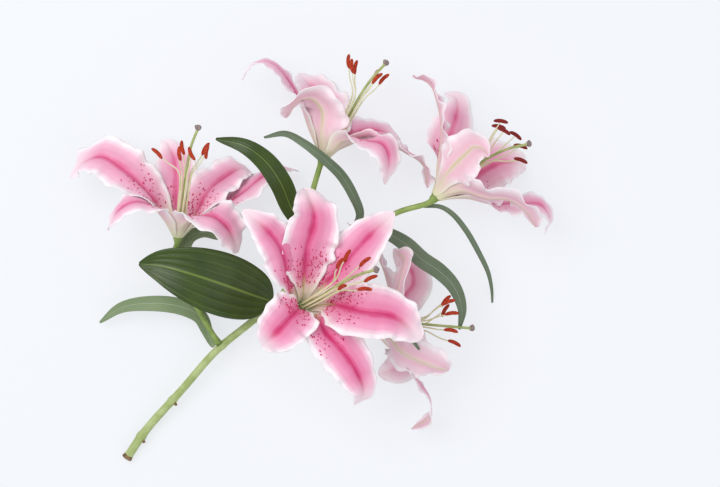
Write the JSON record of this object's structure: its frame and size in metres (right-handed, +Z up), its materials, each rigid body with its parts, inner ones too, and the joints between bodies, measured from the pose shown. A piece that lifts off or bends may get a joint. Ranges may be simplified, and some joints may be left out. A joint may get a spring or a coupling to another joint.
{
  "type": "cut lily spray",
  "caption": "Cut spray of an oriental lily lying on a surface: a stem that forks into flower stalks with open pink flowers and narrow leaves.",
  "frame": {"origin": "centre of the bounding box on the surface that the spray lies on", "axes": "+X along the spray's longest extent, from the cut stem end towards the flowers; +Y across it; +Z up from the surface"},
  "size_m": [0.4344, 0.3659, 0.1543],
  "materials": {
    "stem": null,
    "stalk": null,
    "petal": null,
    "stamens": null,
    "pistil": null,
    "leaf": null
  },
  "bodies": {
    "root": {"main_stem": "stem", "front_stalk": "stalk", "front_sepal_1": "petal", "front_petal_1": "petal", "front_sepal_2": "petal", "front_petal_2": "petal", "front_sepal_3": "petal", "front_petal_3": "petal", "front_stamens": "stamens", "front_pistil": "pistil", "left_stalk": "stalk", "left_sepal_1": "petal", "left_petal_1": "petal", "left_sepal_2": "petal", "left_petal_2": "petal", "left_sepal_3": "petal", "left_petal_3": "petal", "left_stamens": "stamens", "left_pistil": "pistil", "top_stalk": "stalk", "top_sepal_1": "petal", "top_petal_1": "petal", "top_sepal_2": "petal", "top_petal_2": "petal", "top_sepal_3": "petal", "top_petal_3": "petal", "top_stamens": "stamens", "top_pistil": "pistil", "right_stalk": "stalk", "right_sepal_1": "petal", "right_petal_1": "petal", "right_sepal_2": "petal", "right_petal_2": "petal", "right_sepal_3": "petal", "right_petal_3": "petal", "right_stamens": "stamens", "right_pistil": "pistil", "rear_stalk": "stalk", "rear_sepal_1": "petal", "rear_petal_1": "petal", "rear_sepal_2": "petal", "rear_petal_2": "petal", "rear_sepal_3": "petal", "rear_petal_3": "petal", "rear_stamens": "stamens", "rear_pistil": "pistil", "broad_leaf": "leaf", "low_leaf": "leaf", "small_bract": "leaf", "dark_leaf": "leaf", "arched_leaf": "leaf", "draped_leaf": "leaf", "thread_leaf": "leaf", "hidden_leaf": "leaf"}
  },
  "joints": []
}
